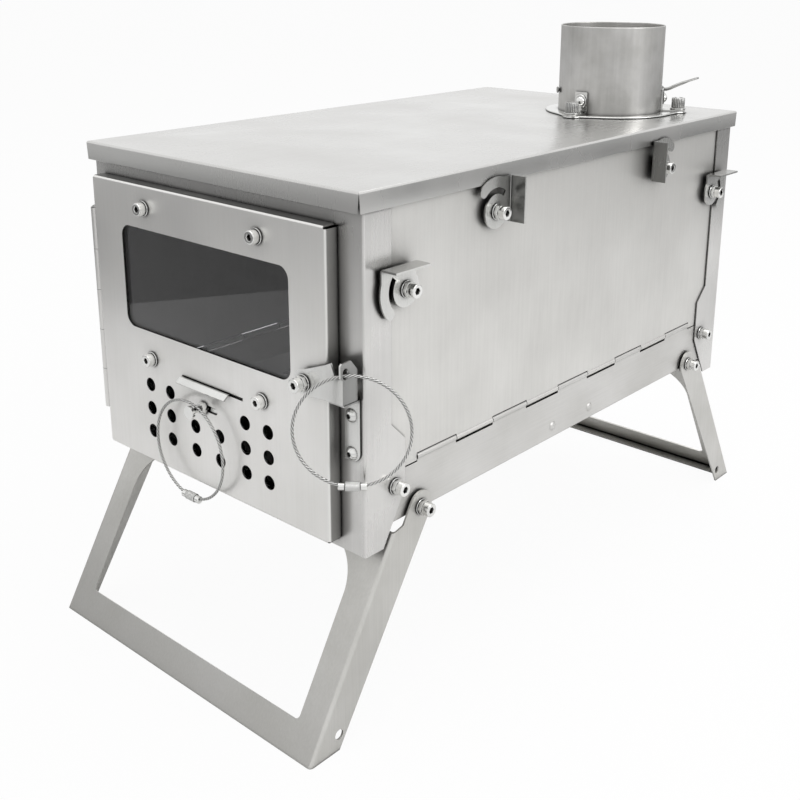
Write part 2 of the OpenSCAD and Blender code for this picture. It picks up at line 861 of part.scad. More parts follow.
pull_side = 6.5; // how far the pull ring hangs to the left of its screw
pull_hang = ring_r - cable_r - pull_r - 0.3;

module at_pull_ring() {
    translate([door_x + pull_x - pull_side, -ring_y, pull_z - sqrt(pow(pull_hang, 2) - pow(pull_side, 2))])
        children();
}

module pull_ring_cable() color("lightgray") at_pull_ring() cable();

module pull_ring_barrel() color("whitesmoke") at_pull_ring() barrel();

latch_ring_turn = 41; // the plane of this ring, turned from the door's
latch_ring_side = 3;

module at_latch_ring() {
    translate([lever_x - lever_t / 2, -eye_y, latch_z + eye_rise])
        rotate([0, 0, latch_ring_turn])
            translate([latch_ring_side, 0, -sqrt(pow(ring_r, 2) - pow(latch_ring_side, 2))])
                children();
}

module latch_ring_cable() color("lightgray") at_latch_ring() cable();

module latch_ring_barrel() color("whitesmoke") at_latch_ring() barrel();

// ------------------------------------------------------------ door latch

// Lever on the door: pivot disc, widening arm with a cut corner, and a side folded back that
// rests on the strike's shelf and carries the eye for the ring
module door_latch() color("gainsboro") {
    front = door_face + lever_gap + lever_t;
    back = wall_y + 1.8;
    arm = lever_x - latch_x;
    disc = 6.5;
    notch = eye_rise - cable_r - 0.8; // the arm ends here under the ring
    high = 14;
    ear_front = eye_y + eye_r + eye_wall;
    ear_top = eye_rise + eye_r + eye_wall + 3.2;
    ear_cut = 4;
    difference() {
        union() {
            end_plate(front, lever_t)
                translate([latch_x, latch_z]) {
                    circle(disc);
                    polygon([
                        [0, disc], [arm * 0.54, high - 2], [arm * 0.7, high], [arm - 5, notch],
                        [arm, notch], [arm, -lever_low], [arm * 0.54, -lever_low], [0, -disc]
                    ]);
                }
            side_plate(lever_x - lever_t, lever_t)
                translate([0, latch_z])
                    polygon([
                        [-front, -lever_low], [-back, -lever_low], [-back, ear_top - ear_cut - 1],
                        [-back - ear_cut, ear_top], [1 - ear_front, ear_top], [-ear_front, ear_top - 1],
                        [-ear_front, notch + 1], [-front, notch]
                    ]);
        }
        along_y(latch_x, -front - over, latch_z, screw_r + bore_gap, 3 * over + lever_t);
        side_plate(lever_x - lever_t - over, lever_t + 2 * over)
            translate([-eye_y, latch_z + eye_rise + 1]) rotate(90) slot2d(2 * eye_r + 2, 2 * eye_r);
    }
}

strike_top = latch_z - lever_low - face_gap;
strike_screw_x = strike_x - strike_w + 4.5;
strike_screw_z = [strike_top - 9.1, strike_top - strike_h + 3.7];

// Bracket on the wall with the shelf that the lever drops on
module latch_strike() color("lightgray") {
    corner = 5;
    lip = door_face + lever_gap + lever_t / 2 - wall_y - sheet;
    difference() {
        union() {
            end_plate(wall_y + sheet, sheet)
                translate([strike_x - strike_w, strike_top - strike_h]) {
                    translate([0, corner]) square([strike_w, strike_h - corner]);
                    square([strike_w - corner, corner + 1]);
                    translate([strike_w - corner, corner]) circle(corner);
                }
            translate([strike_x - strike_w, -wall_y - sheet - lip, strike_top - sheet])
                cube([strike_w, lip + sheet, sheet]);
        }
        for (z = strike_screw_z)
            along_y(strike_screw_x, -wall_y - sheet - over, z, hinge_screw_r + bore_gap, sheet + 2 * over);
    }
}

module strike_screws() color("whitesmoke") {
    for (z = strike_screw_z)
        translate([strike_screw_x, -wall_y - sheet - face_gap / 2, z])
            rotate([90, 0, 0]) button_screw(2 * sheet, true);
}

// ------------------------------------------------------------------ legs

// The tangent point of the leg's straight back edge on the ear, seen from point p
function ear_tangent(p) =
    let (a = atan2(p[1], p[0]) - acos(ear_r / norm(p)))
    ear_r * [cos(a), sin(a)];

// Side outline of a leg in (s, n): round ear, shoulder, and a foot cut level with the floor
module leg_outline() {
    heel = [foot_s - foot_d * sin(leg_lean), leg_off - foot_d * cos(leg_lean)];
    circle(ear_r);
    polygon([
        [0, ear_r],
        [shoulder_s - shoulder_in, ear_r],
        [shoulder_s, leg_off],
        [foot_s, leg_off],
        heel,
        ear_tangent(heel)
    ]);
}

// Plan of the opening in the leg's plate, in (s, across)
module leg_window() {
    top = shoulder_s + 10;
    foot = leg_s - foot_bar;
    half = leg_x + leg_sheet - rail_w;
    low_r = 3;
    translate([top, arch_r - half]) square([arch_r, 2 * (half - arch_r)]);
    translate([top + arch_r, -half]) square([foot - top - arch_r - low_r, 2 * half]);
    translate([foot - low_r - over, low_r - half]) square([low_r + over, 2 * (half - low_r)]);
    for (s = [-1, 1]) {
        translate([top + arch_r, s * (half - arch_r)]) circle(arch_r);
        translate([foot - low_r, s * (half - low_r)]) circle(low_r);
    }
}

// One leg, front: a channel whose sides hang on the pivots, with a large opening and flat feet
module leg() {
    hole_back = 19.8;
    hole_up = 9;
    bite = 0.2; // how far the foot's lip runs into the sides
    translate([0, -leg_y, leg_rise])
        rotate([90, 0, -90])
            rotate([0, 0, leg_lean - 90])
                difference() {
                    union() {
                        intersection() {
                            linear_extrude(3 * leg_x, center = true) leg_outline();
                            translate([-2 * ear_r, leg_off, 0])
                                rotate([90, 0, 90])
                                    linear_extrude(leg_s + 3 * ear_r) rotate([0, 0, -90]) leg_channel();
                        }
                        translate([leg_s, leg_off, 0])
                            rotate([0, 0, 90 - leg_lean])
                                translate([-foot_lip, 0, -leg_x - bite])
                                    cube([foot_lip - 1.1 * leg_sheet, leg_sheet, 2 * (leg_x + bite)]);
                    }
                    for (s = [-1, 1])
                        translate([0, 0, s * (leg_x + leg_sheet / 2)])
                            cylinder(r = screw_r + bore_gap, h = 4 * leg_sheet, center = true);
                    translate([leg_s, leg_off, 0])
                        rotate([0, 0, 90 - leg_lean])
                            translate([-hole_back, hole_up, 0])
                                cylinder(r = 2.7, h = 3 * leg_x, center = true);
                    translate([0, leg_off + over, 0])
                        rotate([90, 0, 0]) linear_extrude(leg_sheet + 2 * over) leg_window();
                }
}

// Section of the leg, (n, across): the plate at n = 0 and two sides
module leg_channel() {
    w = 2 * (leg_x + leg_sheet);
    difference() {
        leg_round(w, leg_sheet + 1);
        translate([0, -leg_sheet]) leg_round(w - 2 * leg_sheet, 1);
    }
}

module leg_round(w, r) {
    d = leg_off + 2 * foot_d;
    translate([-w / 2, -d]) square([w, d - r]);
    translate([r - w / 2, -2 * r]) square([w - 2 * r, 2 * r]);
    for (x = [r - w / 2, w / 2 - r]) translate([x, -r]) circle(r);
}

module leg_front() color("darkgray") leg();

module leg_rear() color("darkgray") mirror([0, 1, 0]) leg();

// ---------------------------------------------------------- turn latches

// Plan of a turn latch: a disc round the screw, a slot, and a crescent hook out of one neck
module latch_plan() {
    neck_a = 60;
    tip_a = 133;
    band = (hook_r - slot_r) / 2;
    mid_r = (hook_r + slot_r) / 2;
    difference() {
        union() {
            circle(disc_r);
            translate([0, -tab_below]) square([tab_u - latch_t - 0.5, tab_below + tab_above]);
            ring_part(slot_r, hook_r, neck_a, tip_a);
            rotate([0, 0, tip_a]) translate([mid_r, 0]) circle(band);
        }
        difference() {
            ring_part(disc_r, slot_r, neck_a - 8, 200);
            translate([0, -hook_r]) square([hook_r, hook_r]);
        }
        circle(screw_r + bore_gap);
    }
}

module turn_latch() {
    r = latch_t + 0.5;
    linear_extrude(latch_t) latch_plan();
    translate([0, tab_above, 0])
        rotate([90, 0, 0])
            linear_extrude(tab_below + tab_above) {
                translate([tab_u - r, r])
                    intersection() {
                        difference() {
                            circle(r);
                            circle(r - latch_t);
                        }
                        translate([0, -r]) square(r);
                    }
                translate([tab_u - latch_t, r]) square([latch_t, tab_out - r]);
            }
}

// On the right at the front: tab towards the middle, hook up over the lid's skirt
module top_latch() {
    translate([latch_in, -top_latch_y, top_latch_z]) rotate([90, 0, 90]) turn_latch();
}

// On the right at the front: tab on top, hook over the end wall's flange
module corner_latch() {
    translate([latch_in, -corner_latch_y, corner_latch_z])
        rotate([90, 0, 0]) rotate([90, 0, 90]) turn_latch();
}

module top_latch_front_right() color("gainsboro") placed(0, 0) top_latch();

module top_latch_front_left() color("gainsboro") placed(1, 0) top_latch();

module top_latch_rear_right() color("gainsboro") placed(0, 1) top_latch();

module top_latch_rear_left() color("gainsboro") placed(1, 1) top_latch();

module corner_latch_front_right() color("gainsboro") placed(0, 0) corner_latch();

module corner_latch_front_left() color("gainsboro") placed(1, 0) corner_latch();

module corner_latch_rear_right() color("gainsboro") placed(0, 1) corner_latch();

module corner_latch_rear_left() color("gainsboro") placed(1, 1) corner_latch();

// ---------------------------------------------------------- lid and flue

module at_flue(z) {
    translate([flue_x, flue_y, z]) children();
}

module lid() color("gainsboro") {
    difference() {
        translate([0, 0, lid_top]) folded_pan(lid_w, lid_l, skirt_h, skirt_h);
        at_flue(lid_top - sheet - over) cylinder(r = flue_r - 0.6, h = sheet + 2 * over);
        for (a = ear_angles)
            at_flue(lid_top - sheet - over)
                rotate([0, 0, a])
                    translate([thumb_r, 0, 0]) cylinder(r = screw_r + bore_gap, h = sheet + 2 * over);
    }
}

damper_a = 45; // direction of the damper's rod

// Tube with its damper and bolt holes, and a scribed line round it above the damper
module flue_spigot() color("darkgray") {
    at_flue(lid_top + face_gap / 2)
        difference() {
            cylinder(r = flue_r, h = flue_h - face_gap / 2);
            translate([0, 0, -over]) cylinder(r = flue_r - flue_t, h = flue_h + 2 * over);
            translate([0, 0, damper_h])
                rotate([0, 90, damper_a])
                    cylinder(r = damper_rod_r + bore_gap, h = 3 * flue_r, center = true);
            for (a = ear_angles)
                rotate([0, 90, a])
                    translate([-bolt_rise, 0, 0]) cylinder(r = pull_r + bore_gap, h = 2 * flue_r);
            rotate_extrude()
                translate([flue_r, mark_rise])
                    polygon([[-mark_depth, 0], [mark_depth, mark_w], [mark_depth, -mark_w]]);
        }
}

// Ring plate with three ears that the thumb screws hold down
module flue_collar() color("silver") {
    ring = flue_r + 0.2 + collar_w;
    ear = 5.5;
    at_flue(lid_top + face_gap / 2)
        difference() {
            linear_extrude(collar_t) {
                circle(ring);
                for (a = ear_angles)
                    rotate([0, 0, a]) {
                        translate([thumb_r, 0]) circle(ear);
                        polygon([
                            [thumb_r, ear], [ring * cos(24), ring * sin(24)], [0, 0],
                            [ring * cos(24), -ring * sin(24)], [thumb_r, -ear]
                        ]);
                    }
            }
            translate([0, 0, -over]) cylinder(r = flue_r + 0.2, h = collar_t + 2 * over);
            for (a = ear_angles)
                rotate([0, 0, a])
                    translate([thumb_r, 0, -over]) cylinder(r = screw_r + bore_gap, h = 4 * over);
        }
}

collar_top = lid_top + face_gap / 2 + collar_t;

// Three angle brackets: foot under a thumb screw, upright bolted to the tube
module flue_brackets() color("silver") {
    r = flue_r + 0.1;
    foot = thumb_r + 4.5 - r;
    at_flue(collar_top + face_gap / 2)
        for (a = ear_angles)
            rotate([0, 0, a]) {
                difference() {
                    union() {
                        translate([r + bracket_t, -bracket_w / 2, 0])
                            cube([foot - bracket_t, bracket_w, bracket_t]);
                        intersection() {
                            difference() {
                                cylinder(r = r + bracket_t + 0.2, h = bracket_h);
                                translate([0, 0, -over]) cylinder(r = r, h = bracket_h + 2 * over);
                            }
                            translate([r - 2, -bracket_w / 2, 0]) cube([5, bracket_w, bracket_h]);
                        }
                    }
                    translate([thumb_r, 0, -over]) cylinder(r = screw_r + bore_gap, h = 3 * over);
                    translate([r - over, 0, bracket_bolt_z]) rotate([0, 90, 0])
                        cylinder(r = pull_r + bore_gap, h = 4 * over);
                }
            }
}

bracket_bolt_z = lid_top + face_gap / 2 + bolt_rise - collar_top - face_gap / 2;

module bracket_bolts() color("whitesmoke") {
    seat = flue_r + face_gap + bracket_t + 0.25;
    dome_r = 3.1;
    dome_h = 2.4;
    at_flue(lid_top + face_gap / 2 + bolt_rise)
        for (a = ear_angles)
            rotate([0, 0, a]) rotate([0, 90, 0]) {
                cylinder_from(flue_r - flue_t + 0.1, seat + 1, pull_r);
                translate([0, 0, seat]) dome_head(dome_r, dome_h);
            }
}

// Knurled thumb screws with a nut under the lid
module collar_thumb_screws() color("silver") {
    seat = collar_top + face_gap / 2 + bracket_t + face_gap / 2;
    grip_r = 4.25;
    grip_h = 7.5;
    ridges = 30;
    for (a = ear_angles)
        at_flue(0)
            rotate([0, 0, a]) translate([thumb_r, 0, 0]) {
                cylinder_from(lid_top - sheet - 2.6, seat + 1, screw_r);
                translate([0, 0, lid_top - sheet - face_gap - 2.2])
                    cylinder(r = nut_af / sqrt(3), h = 2.2, $fn = 6);
                translate([0, 0, seat])
                    linear_extrude(grip_h)
                        polygon([
                            for (i = [0 : 2 * ridges - 1])
                                (grip_r - 0.25 * (i % 2)) * [cos(180 * i / ridges), sin(180 * i / ridges)]
                        ]);
            }
}

module at_damper() {
    at_flue(lid_top + face_gap / 2 + damper_h) rotate([0, 0, damper_a]) children();
}

// Round blade with a pressed channel over the rod
module damper_blade() color("gray") {
    r = flue_r - flue_t - blade_gap;
    t = 1;
    at_damper()
        difference() {
            union() {
                translate([0, 0, -t / 2]) cylinder(r = r, h = t);
                rotate([0, 90, 0]) cylinder(r = damper_rod_r + 0.9, h = 1.9 * r, center = true);
            }
            rotate([0, 90, 0]) cylinder(r = damper_rod_r + bore_gap, h = 3 * r, center = true);
        }
}

// Rod through the tube, bent up into a flattened handle, with a cone washer at the tube
module damper_rod() color("whitesmoke") {
    bend_at = flue_r + 5;
    rise = 20;
    grip = 22;
    at_damper() {
        rotate([0, 90, 0]) {
            cylinder_from(-flue_r - 1.5, bend_at, damper_rod_r);
            translate([0, 0, flue_r + 0.15]) cylinder(r1 = 3.2, r2 = damper_rod_r + 0.5, h = 2.2);
            cylinder_from(-flue_r - 1.9, -flue_r - 0.9, damper_rod_r + 0.9);
        }
        translate([bend_at, 0, 0]) {
            sphere(damper_rod_r + 0.1);
            rotate([0, -rise, 0]) {
                rotate([0, 90, 0]) cylinder(r = damper_rod_r, h = grip - 7);
                translate([grip - 8, 0, -0.6])
                    linear_extrude(1.2) {
                        translate([0, -2.2]) square([7, 4.4]);
                        translate([7, 0]) circle(2.2);
                    }
            }
        }
    }
}

// ----------------------------------------------------------------- nodes

bottom_tray();
side_panel_right();
side_panel_left();
hinge_rods();
front_wall();
rear_wall();
fire_grate();
wall_screws();
leg_pivot_screws();
top_latch_screws();
corner_latch_screws();
door_hinge_leaf();
door_hinge_pin();
door_hinge_screws();
latch_strike();
strike_screws();
lid();
flue_spigot();
flue_collar();
flue_brackets();
bracket_bolts();
collar_thumb_screws();
damper_blade();
damper_rod();
door_panel();
window_glass();
glass_clamps();
glass_screws();
door_knuckle_leaf();
latch_pivot_screw();
air_slider();
slider_pull_screw();
pull_ring_cable();
pull_ring_barrel();
door_latch();
latch_ring_cable();
latch_ring_barrel();
leg_front();
leg_rear();
top_latch_front_right();
top_latch_front_left();
top_latch_rear_right();
top_latch_rear_left();
corner_latch_front_right();
corner_latch_front_left();
corner_latch_rear_right();
corner_latch_rear_left();
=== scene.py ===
"""Looks of a fold-down tent wood stove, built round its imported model. Metres, the same frame."""

import bmesh
import bpy
import numpy as np
from mathutils import Matrix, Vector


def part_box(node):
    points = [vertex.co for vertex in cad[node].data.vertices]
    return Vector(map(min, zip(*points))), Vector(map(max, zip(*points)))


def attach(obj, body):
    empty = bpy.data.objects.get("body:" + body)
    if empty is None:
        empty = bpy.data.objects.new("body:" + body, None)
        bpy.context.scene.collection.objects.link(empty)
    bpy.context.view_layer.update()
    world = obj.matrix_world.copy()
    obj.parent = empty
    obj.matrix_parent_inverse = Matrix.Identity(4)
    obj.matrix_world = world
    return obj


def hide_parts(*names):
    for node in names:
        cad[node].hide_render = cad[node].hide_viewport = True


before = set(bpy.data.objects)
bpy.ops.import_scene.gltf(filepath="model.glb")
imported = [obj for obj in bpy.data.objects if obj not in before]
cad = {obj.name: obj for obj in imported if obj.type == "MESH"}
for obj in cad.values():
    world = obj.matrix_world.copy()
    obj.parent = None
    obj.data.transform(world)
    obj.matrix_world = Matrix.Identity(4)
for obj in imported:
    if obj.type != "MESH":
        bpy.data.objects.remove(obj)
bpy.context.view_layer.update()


# ------------------------------------------------------------------ camera
# Stands in front of the stove's right corner, a little over the lid, with a view
# camera's falling lens, so that the stove's upright edges stay nearly upright.

PHOTO = 800  # the photograph's width and height in pixels
FOCAL = 1119.6  # the focal length in those pixels
SENSOR_MM = 36
LENS_FALL = 0.15  # how far the lens is lowered, as a share of the picture's width


def axes_matrix(side, up, back, place):
    """The matrix that turns X, Y and Z to three axes and moves the origin to `place`."""
    m = np.eye(4)
    m[:3] = np.column_stack([side, up, back, place])
    return Matrix(m.tolist())


def camera_matrix(place, turn, dip, roll):
    """Camera axes from the turn left of +Y, the dip under the horizon and the roll, in degrees."""
    turn, dip, roll = np.radians([turn, dip, roll])
    ahead = np.array([-np.sin(turn) * np.cos(dip), np.cos(turn) * np.cos(dip), -np.sin(dip)])
    right = np.array([np.cos(turn), np.sin(turn), 0])
    up = np.cross(right, ahead)
    side = np.cos(roll) * right + np.sin(roll) * up
    top = -np.sin(roll) * right + np.cos(roll) * up
    return axes_matrix(side, top, -ahead, place)


camera = bpy.data.objects.new("camera", bpy.data.cameras.new("camera"))
bpy.context.collection.objects.link(camera)
camera.matrix_world = camera_matrix((0.4376, -0.5254, 0.3760), turn=41.888, dip=16.166, roll=0.108)
camera.data.sensor_width = SENSOR_MM
camera.data.lens = SENSOR_MM * FOCAL / PHOTO
camera.data.shift_y = -LENS_FALL
camera.data.clip_start = 0.05
bpy.context.scene.camera = camera


# --------------------------------------------------------- light and floor
# A white sweep under a big soft lamp, with two low grey cards standing on it that the
# door and the side panel mirror in their upper parts. Only reflections show the cards.

ROOM_STRENGTH = 0.55  # of the white world as a light
SWEEP_HALF = 60
SWEEP_GLOW = 0.94  # the sweep's share of plain white as the camera sees it
CARD_HEIGHT = 0.16
CARDS = (  # name and the two ends of the card's foot
    ("left_card", (-0.954, 0.10), (0.05, -1.64)),
    ("right_card", (1.75, 0.35), (-0.25, 1.65)),
)


def linear(hex_colour):
    """Linear RGBA of an sRGB hex colour: each channel c becomes ((c + 0.055) / 1.055) ^ 2.4."""
    c = np.array([int(hex_colour[i : i + 2], 16) for i in (1, 3, 5)]) / 255
    lin = np.where(c <= 0.04045, c / 12.92, ((c + 0.055) / 1.055) ** 2.4)
    return (*lin.tolist(), 1.0)


def node_tree(owner):
    """The emptied node tree of a new material or world."""
    owner.use_nodes = True
    owner.node_tree.nodes.clear()
    return owner.node_tree


def add(tree, kind, links=None, **settings):
    """Adds a node. Keys of `links` are its inputs, each with an output, a colour or a number."""
    node = tree.nodes.new(kind)
    for key, value in settings.items():
        setattr(node, key, value)
    for key, value in (links or {}).items():
        if isinstance(value, bpy.types.NodeSocket):
            tree.links.new(value, node.inputs[key])
        else:
            node.inputs[key].default_value = value
    return node


def maths(tree, operation, *values):
    """The output of a Math node on outputs or numbers."""
    return add(tree, "ShaderNodeMath", dict(enumerate(values)), operation=operation).outputs[0]


def quad(name, points):
    """A flat four-cornered piece through four given points."""
    mesh = bpy.data.meshes.new(name)
    mesh.from_pydata([tuple(p) for p in points], [], [(0, 1, 2, 3)])
    obj = bpy.data.objects.new(name, mesh)
    bpy.context.collection.objects.link(obj)
    return obj


scene = bpy.context.scene
scene.view_settings.view_transform = "Standard"

world = bpy.data.worlds.new("studio")
scene.world = world
tree = node_tree(world)
rays = add(tree, "ShaderNodeLightPath")
seen = maths(tree, "MAXIMUM", rays.outputs["Is Camera Ray"], rays.outputs["Is Glossy Ray"])
seen = maths(tree, "MAXIMUM", seen, rays.outputs["Is Transmission Ray"])
white = linear("#FFFFFF")
room = add(tree, "ShaderNodeBackground", {"Color": white, "Strength": ROOM_STRENGTH})
backdrop = add(tree, "ShaderNodeBackground", {"Color": white, "Strength": 1.0})
both = add(tree, "ShaderNodeMixShader", {0: seen, 1: room.outputs[0], 2: backdrop.outputs[0]})
add(tree, "ShaderNodeOutputWorld", {"Surface": both.outputs[0]})

sweep_corners = ((-1, -1), (1, -1), (1, 1), (-1, 1))
floor = quad("floor", [(x * SWEEP_HALF, y * SWEEP_HALF, 0) for x, y in sweep_corners])
paper = bpy.data.materials.new("white_sweep_paper")
tree = node_tree(paper)
rays = add(tree, "ShaderNodeLightPath")
matt = add(tree, "ShaderNodeBsdfDiffuse", {"Color": linear("#F4F4F4")})
glow = add(tree, "ShaderNodeEmission", {"Color": white, "Strength": 1.0})
part = maths(tree, "MULTIPLY", rays.outputs["Is Camera Ray"], SWEEP_GLOW)
both = add(tree, "ShaderNodeMixShader", {0: part, 1: matt.outputs[0], 2: glow.outputs[0]})
add(tree, "ShaderNodeOutputMaterial", {"Surface": both.outputs[0]})
floor.data.materials.append(paper)

dark = bpy.data.materials.new("grey_card_paper")
tree = node_tree(dark)
glow = add(tree, "ShaderNodeEmission", {"Color": linear("#868686"), "Strength": 1.0})
add(tree, "ShaderNodeOutputMaterial", {"Surface": glow.outputs[0]})
for name, start, end in CARDS:
    foot_and_top = [(*start, 0), (*end, 0), (*end, CARD_HEIGHT), (*start, CARD_HEIGHT)]
    card = quad(name, foot_and_top)
    card.data.materials.append(dark)
    card.visible_camera = False
    card.visible_diffuse = False
    card.visible_shadow = False
    card.visible_transmission = False


def soft_lamp(name, place, aim, size, power):
    """A square area lamp that stands at `place` and shines at `aim`, which isn't right under it."""
    lamp = bpy.data.objects.new(name, bpy.data.lights.new(name, "AREA"))
    lamp.data.energy = power
    lamp.data.size = size
    bpy.context.collection.objects.link(lamp)
    back = np.array(place, float) - np.array(aim, float)
    back /= np.linalg.norm(back)
    side = np.cross([0, 0, 1], back)
    side /= np.linalg.norm(side)
    lamp.matrix_world = axes_matrix(side, np.cross(back, side), back, place)


STOVE_MIDDLE = (0, 0, 0.15)
soft_lamp("ceiling_lamp", (0.1, 0.2, 1.9), STOVE_MIDDLE, size=1.8, power=16)
soft_lamp("right_lamp", (1.7, 0.3, 1.1), STOVE_MIDDLE, size=1.0, power=10)


# ------------------------------------------------------- sheet-steel body
# Tray, side panels and end walls are folded stainless sheet of 0.8 mm with a satin
# mill finish: a fine straight grain, and faint clouds where it has been handled.

MM = 0.001
METRE = 1000  # mm
LINE_MM = 1.6  # reach of the thin lines of painted shade along laid-on edges
GRAIN_SHARE, CLOUD_SHARE = 0.25, 0.9  # what grain and clouds add to the tone
GLOSS_SPREAD = 0.05  # how far the roughness strays to either side


def remap(tree, value, low, high, to_low=0.0, to_high=1.0):
    """An output carried from low..high over to to_low..to_high, and held there beyond."""
    ends = {"From Min": low, "From Max": high, "To Min": to_low, "To Max": to_high}
    return add(tree, "ShaderNodeMapRange", {"Value": value, **ends}).outputs[0]


def shade_near_others(tree, reach_mm, low, high, least):
    """Painted shade: 1 on open faces, and down to `least` where other surfaces stand within
    reach_mm.
    """
    open_share = add(tree, "ShaderNodeAmbientOcclusion", {"Distance": reach_mm * MM}, samples=5)
    return remap(tree, open_share.outputs["AO"], low, high, least)


def satin_steel(
    name, tint, deep, roughness, grain, wide_mm=0.9, long_mm=45.0, cloud_mm=55.0,
    crease_mm=14.0, shade=0.45, facing=None, line=0.06, valley=False,
):
    """Brushed stainless sheet: straight grain along `grain`, soft clouds, slightly uneven gloss.

    The grain is a noise stretched to long_mm along the brushing and wide_mm across it. Real
    grain is about 0.1 mm wide, so it is drawn coarser here, to show at this distance. As painted
    shade, surfaces darken to `shade` where others stand within crease_mm, and to `line` within
    LINE_MM, along the edges of laid-on sheets and in the rims of sockets. `facing` gives, for X,
    Y or Z, the share of its tone that a face square to that axis keeps, as painted shade and
    painted reflection: folded edges and flanges that face that way are painted darker than the
    sheet's broad side. With `valley` the mesh's own attribute "tone", painted shade in its
    grooves, stands in for the thin lines."""
    mat = bpy.data.materials.new(name)
    tree = node_tree(mat)
    place = add(tree, "ShaderNodeTexCoord")
    stretch = [METRE / wide_mm] * 3
    for axis in grain:
        stretch["XYZ".index(axis)] = METRE / long_mm
    brushed = add(
        tree, "ShaderNodeMapping", {"Vector": place.outputs["Object"], "Scale": stretch}
    )
    lines = add(
        tree, "ShaderNodeTexNoise", {"Vector": brushed.outputs[0], "Scale": 1.0, "Detail": 2.0}
    )
    cloud = add(
        tree, "ShaderNodeTexNoise",
        {"Vector": place.outputs["Object"], "Scale": METRE / cloud_mm, "Detail": 4.0},
    )
    tone = maths(tree, "MULTIPLY", lines.outputs["Fac"], GRAIN_SHARE)
    tone = maths(tree, "MULTIPLY_ADD", cloud.outputs["Fac"], CLOUD_SHARE, tone)
    tone = remap(tree, tone, 0.38, 0.78)
    # Inputs 6 and 7 of a Mix node are its two colours.
    colour = add(
        tree, "ShaderNodeMix", {"Factor": tone, 6: linear(deep), 7: linear(tint)},
        data_type="RGBA",
    )
    shadow = shade_near_others(tree, crease_mm, 0.2, 0.9, shade)
    if valley:
        fine = add(tree, "ShaderNodeAttribute", attribute_name="tone").outputs["Fac"]
    else:
        fine = shade_near_others(tree, LINE_MM, 0.4, 0.97, line)
    shadow = maths(tree, "MULTIPLY", shadow, fine)
    for axis, share in (facing or {}).items():
        normal = add(tree, "ShaderNodeSeparateXYZ", {"Vector": place.outputs["Normal"]})
        square = maths(tree, "ABSOLUTE", normal.outputs["XYZ".index(axis)])
        shadow = maths(tree, "MULTIPLY", shadow, remap(tree, square, 0.8, 0.97, 1.0, share))
    colour = add(
        tree, "ShaderNodeMix", {"Factor": 1.0, 6: colour.outputs[2], 7: shadow},
        data_type="RGBA", blend_type="MULTIPLY",
    )
    gloss = remap(tree, tone, 0, 1, roughness + GLOSS_SPREAD, roughness - GLOSS_SPREAD)
    relief = add(
        tree, "ShaderNodeBump",
        {"Height": lines.outputs["Fac"], "Strength": 0.12, "Distance": 0.00004},
    )
    skin = add(
        tree, "ShaderNodeBsdfPrincipled",
        {
            "Base Color": colour.outputs[2], "Metallic": 1.0,
            "Roughness": gloss, "Normal": relief.outputs[0],
        },
    )
    add(tree, "ShaderNodeOutputMaterial", {"Surface": skin.outputs[0]})
    return mat


def dress(material, *names):
    """Gives CAD nodes their finish."""
    for name in names:
        cad[name].data.materials.clear()
        cad[name].data.materials.append(material)


# The panels' and walls' wide, deep darkening near other parts is painted shade: shadows beside the
# latches, under the lid's skirt, and dark bands on the wall strips beside the door.
panel_steel = satin_steel(
    "satin_stainless_panel", "#E0DFDC", "#D2D1CE", 0.42, "Z", 1.8, 40, crease_mm=20, shade=0.1
)
dress(panel_steel, "side_panel_right", "side_panel_left")
wall_steel = satin_steel(
    "satin_stainless_wall", "#DEDDDB", "#CCCBC9", 0.28, "Z", crease_mm=8, shade=0.12
)
dress(wall_steel, "front_wall", "rear_wall")
tray_steel = satin_steel("satin_stainless_tray", "#DAD9D7", "#C9C8C5", 0.42, "Y", shade=0.3)
dress(tray_steel, "bottom_tray", "fire_grate")
rod_steel = satin_steel("drawn_steel_rod", "#A6A6A4", "#7A7A78", 0.3, "Y", 0.5)
dress(rod_steel, "hinge_rods", "door_hinge_pin")


# --------------------------------------------------------------- fasteners
# Stainless cap screws with socket heads 7 mm across, turned bright, each on a washer and a
# plain nut, with a turned spacer under whatever turns on the screw.

SHANK_R, WASHER_R, HEAD_R, HEAD_H = 2.0, 4.2, 3.5, 4.0
NUT_R, NUT_H = 4.04, 3.0  # outside, NUT_H is a thin nut and its washer together
WASHER_T, FACE_GAP = 0.8, 0.1
WELD = 0.002  # points nearer than this are one
PIVOT_SPACER, PIVOT_PLATE, PIVOT_TAIL = 2.6, 1.0, 1.3  # the latch lever's screw
GLASS_NUT = 1.9  # how far inside the door's face the glass screws' nuts start


def turned(rows, columns=48):
    """A grid turned round Z from rows (radius, height, hexagon), in mm. At angle a the radius is
    the circle's where hexagon is 0, and times cos 30 / cos(a mod 60 - 30), a hexagon's, where
    it is 1."""
    r, z, six = np.array([(*row, 0)[:3] for row in rows], float).T[..., None]
    a = np.linspace(0, 2 * np.pi, columns + 1)
    r = r * (1 - six + six * np.cos(np.pi / 6) / np.cos(a % (np.pi / 3) - np.pi / 6))
    return np.stack([r * np.cos(a), r * np.sin(a), z + 0 * a], -1)


def stand(grid, foot, out):
    """Moves a grid drawn round +Z, so that its axis leaves `foot` along the level way `out`."""
    out, up = np.array(out, float), np.array([0, 0, 1.0])
    side = np.cross(up, out)
    return np.array(foot) + grid[..., :1] * side + grid[..., 1:2] * up + grid[..., 2:] * out


